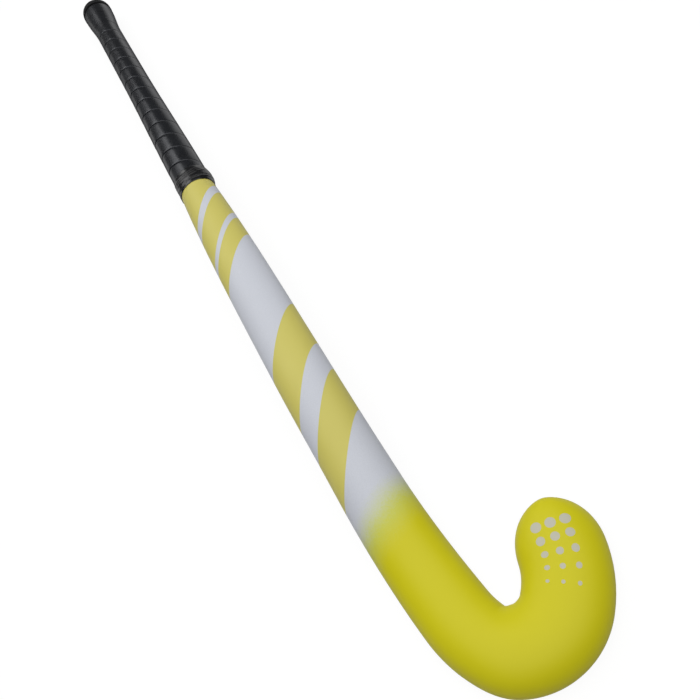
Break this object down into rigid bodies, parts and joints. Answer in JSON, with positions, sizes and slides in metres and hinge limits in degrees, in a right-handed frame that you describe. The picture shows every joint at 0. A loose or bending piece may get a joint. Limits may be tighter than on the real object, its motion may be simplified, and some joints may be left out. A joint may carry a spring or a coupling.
{
  "type": "indoor hockey stick",
  "caption": "Slim fibre laminate stick with a rounded back, a flat playing face, a tight hooked head, a slight bow and a long wound grip.",
  "frame": {"origin": "on the flat playing face, under the shaft's centre line, 60 mm from the heel's outer edge", "axes": "+X from the butt to the head along the shaft, +Y to the side that the toe points to, +Z out of the rounded back, away from the playing face"},
  "size_m": [0.9275, 0.1225, 0.0427],
  "materials": {
    "painted_laminate": "satin lacquer over yellow and silver paint",
    "bare_laminate": "matt resin, as moulded",
    "foam": "matt cut foam",
    "rubber": "matt moulded",
    "cushion": "matt foam skin",
    "grip_strip": "soft satin skin",
    "tape": "smooth stretched tape"
  },
  "bodies": {
    "root": {"outer_shell": "painted_laminate", "heel_side_tube": "bare_laminate", "toe_side_tube": "bare_laminate", "head_core": "foam", "butt_plug": "foam", "butt_cap": "rubber", "grip_underlay": "cushion", "grip_strip": "grip_strip", "finishing_tape": "tape"}
  },
  "joints": []
}
